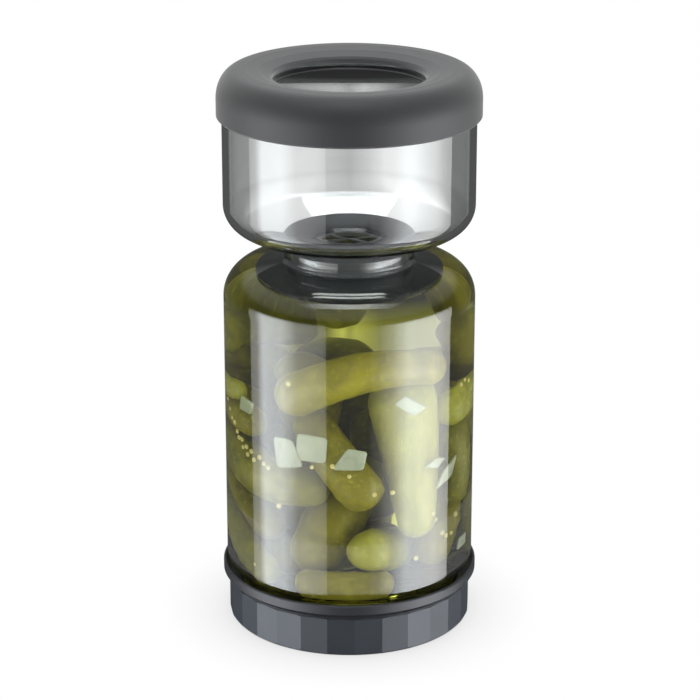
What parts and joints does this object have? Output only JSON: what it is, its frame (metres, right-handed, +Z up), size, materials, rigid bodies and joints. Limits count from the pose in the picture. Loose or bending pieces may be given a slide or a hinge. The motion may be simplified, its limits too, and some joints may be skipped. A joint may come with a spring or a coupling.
{
  "type": "pickle jar with strainer",
  "caption": "Flip-over pickle jar: hourglass glass body with a brine bowl above a pickle chamber, a strainer in its waist, a soft foot ring and a faceted screw lid.",
  "frame": {"origin": "centre of the lid's underside, on the surface that the jar stands on", "axes": "+Z up along the jar's axis, from the screw lid to the foot ring; -Y is the front of the picture"},
  "size_m": [0.1036, 0.1036, 0.2269],
  "materials": {
    "jar_glass": "clear polished",
    "foot_ring": "soft matte dark grey",
    "strainer_plate": "satin dark grey",
    "strainer_bars": "satin grey",
    "neck_seal": "soft dark grey",
    "lid_grip": "matte blue-grey with flat facets",
    "lid_liner": "matte dark grey",
    "lid_gasket": "dark grey silicone"
  },
  "bodies": {
    "lid": {"lid_grip": "lid_grip", "lid_liner": "lid_liner"},
    "sealing_ring": {"lid_gasket": "lid_gasket"},
    "jar": {"jar_glass": "jar_glass", "neck_seal": "neck_seal"},
    "foot": {"foot_ring": "foot_ring"},
    "strainer": {"strainer_plate": "strainer_plate", "strainer_bars": "strainer_bars"}
  },
  "joints": [
    {"name": "jar_turn", "type": "hinge", "parent": "lid", "child": "sealing_ring", "pos_m": [0, 0, 0.0052], "axis": [0, 0, 1], "range_deg": [0, 450]},
    {"name": "jar_lift", "type": "slide", "parent": "sealing_ring", "child": "jar", "axis": [0, 0, 1], "range_m": [0, 0.0075]},
    {"name": "foot_pull", "type": "slide", "parent": "jar", "child": "foot", "axis": [0, 0, 1], "range_m": [0, 0.018]},
    {"name": "strainer_pull", "type": "slide", "parent": "jar", "child": "strainer", "axis": [0, 0, -1], "range_m": [0, 0.016]}
  ],
  "couplings": [
    {"joint": "jar_lift", "follows": "jar_turn", "m_per_rad": 0.00095493}
  ]
}
